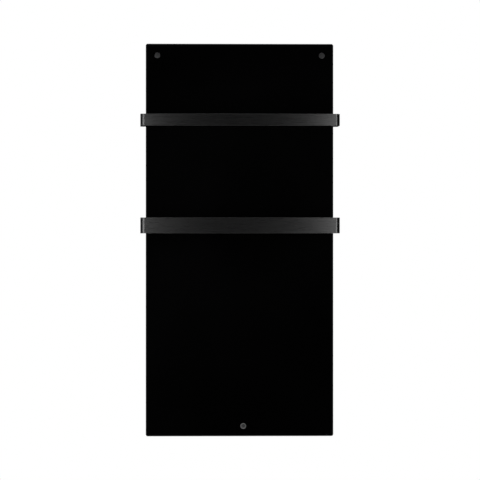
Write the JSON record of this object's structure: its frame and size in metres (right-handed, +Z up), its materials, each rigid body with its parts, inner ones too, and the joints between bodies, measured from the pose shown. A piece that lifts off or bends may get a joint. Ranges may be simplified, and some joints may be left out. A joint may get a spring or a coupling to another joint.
{
  "type": "glass panel heater",
  "caption": "Tall wall-hung black glass panel heater with flat-bar towel rails bent round its sides, round glass fixings, a push button and a hook-on wall rail.",
  "frame": {"origin": "middle of the four wall screw holes of the wall rail, on the wall plane", "axes": "+Z up, +Y into the wall, +X to the right seen from the front; the glass faces -Y"},
  "size_m": [0.5056, 0.111, 1],
  "materials": {
    "black_glass": "black enamelled toughened glass, polished edges",
    "rail_black": "satin black powder coat on flat bar",
    "fixing_metal": "satin dark plated caps",
    "button_metal": "satin dark plated button",
    "pan_steel": "grey powder coat on pressed steel",
    "zinc_steel": "zinc plated steel",
    "box_plastic": "black moulded plastic, fine texture",
    "seal_rubber": "black rubber",
    "bush_plastic": "natural nylon",
    "film_plastic": "amber film",
    "copper": "bare copper",
    "mica": "mica sheet",
    "foil": "bright foil",
    "mineral_board": "mineral fibre board",
    "cutout_body": "moulded base with metal cup",
    "lead_brown": "brown insulation",
    "lead_blue": "blue insulation",
    "lead_green": "green and yellow insulation",
    "terminal_plastic": "white moulded plastic"
  },
  "bodies": {
    "wall_bracket": {"wall_rail": "zinc_steel"},
    "heater": {"glass_panel": "black_glass", "fixing_caps": "fixing_metal", "fixing_bushes": "bush_plastic", "fixing_washers": "zinc_steel", "fixing_nuts": "zinc_steel", "back_pan": "pan_steel", "pan_seal": "seal_rubber", "heating_film": "film_plastic", "heating_track": "copper", "element_tabs": "copper", "mica_sheet": "mica", "reflector_foil": "foil", "insulation_board": "mineral_board", "thermal_cutouts": "cutout_body", "hanger_rail": "zinc_steel", "hanger_rivets": "zinc_steel", "wall_spacers": "box_plastic", "spacer_pads": "seal_rubber", "spacer_screws": "zinc_steel", "towel_rail_upper": "rail_black", "towel_rail_lower": "rail_black", "rail_pads": "seal_rubber", "rail_screws": "zinc_steel", "rail_washers": "zinc_steel", "rivet_nuts": "zinc_steel", "control_box": "box_plastic", "cover_gasket": "seal_rubber", "control_box_cover": "box_plastic", "cover_screws": "zinc_steel", "lug_screws": "zinc_steel", "button_bezel": "button_metal", "button_gasket": "seal_rubber", "button_nut": "zinc_steel", "button_spring": "zinc_steel", "button_switch": "box_plastic", "switch_leads": "lead_brown", "terminal_block": "terminal_plastic", "terminal_screws": "zinc_steel", "lead_live": "lead_brown", "lead_neutral": "lead_blue", "lead_earth": "lead_green", "cutout_leads": "lead_brown", "earth_screw": "zinc_steel", "wire_grommet": "seal_rubber", "gland_body": "box_plastic", "gland_washer": "seal_rubber", "gland_seal": "seal_rubber", "gland_nut": "box_plastic", "gland_locknut": "box_plastic"},
    "button": {"button_cap": "button_metal", "button_clip": "zinc_steel"}
  },
  "joints": [
    {"name": "lift_off", "type": "slide", "parent": "wall_bracket", "child": "heater", "axis": [0, 0, 1], "range_m": [0, 0.014]},
    {"name": "button_press", "type": "slide", "parent": "heater", "child": "button", "axis": [0, 1, 0], "range_m": [0, 0.0015], "stiffness_N_per_m": 400, "springref_m": -0.002, "deforming": ["button_spring"]}
  ]
}
